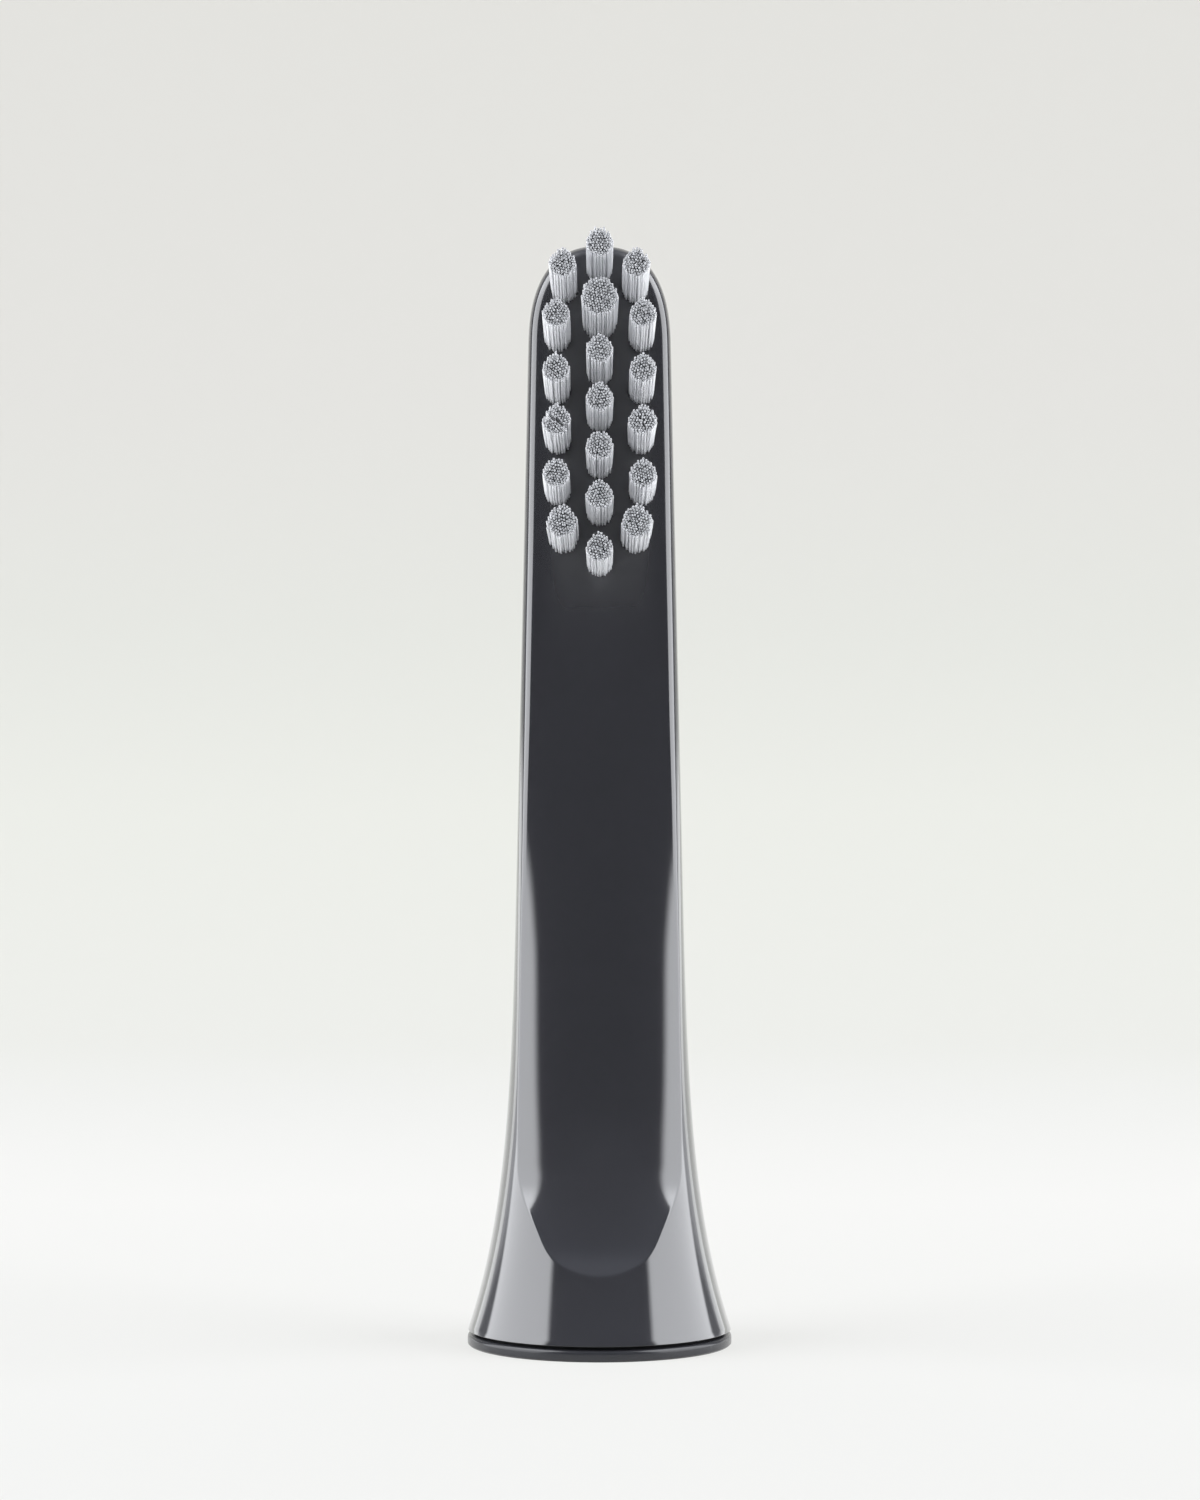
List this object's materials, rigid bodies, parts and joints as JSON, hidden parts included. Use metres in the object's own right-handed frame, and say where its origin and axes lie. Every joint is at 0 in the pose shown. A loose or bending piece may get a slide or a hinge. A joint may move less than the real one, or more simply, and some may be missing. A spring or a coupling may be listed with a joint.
{
  "type": "electric toothbrush head",
  "caption": "Push-on electric toothbrush head: tapered neck, scooped front face, flared skirt with a trim ring, round filament tufts and a flatted drive socket.",
  "frame": {"origin": "on the drive axis, at the plane of the base ring's lower face, in the mouth of its bore", "axes": "+Z along the drive axis from the skirt to the tip of the head, -Y the way the bristles point, +X to the right seen from the bristles' side"},
  "size_m": [0.018, 0.0215, 0.075],
  "materials": {
    "shell": "polished moulding",
    "ring": "polished moulding",
    "insert": "natural moulding",
    "spring": "rolled strip",
    "anchor": "sheared wire",
    "filament": "drawn filament"
  },
  "bodies": {
    "root": {"body_shell": "shell", "base_ring": "ring", "drive_insert": "insert", "shaft_spring": "spring", "tuft_anchors": "anchor", "tuft_centre_1": "filament", "tuft_centre_2": "filament", "tuft_centre_3": "filament", "tuft_centre_4": "filament", "tuft_centre_5": "filament", "tuft_centre_6": "filament", "tuft_centre_7": "filament", "tuft_left_1": "filament", "tuft_left_2": "filament", "tuft_left_3": "filament", "tuft_left_4": "filament", "tuft_left_5": "filament", "tuft_left_6": "filament", "tuft_right_1": "filament", "tuft_right_2": "filament", "tuft_right_3": "filament", "tuft_right_4": "filament", "tuft_right_5": "filament", "tuft_right_6": "filament"}
  },
  "joints": []
}
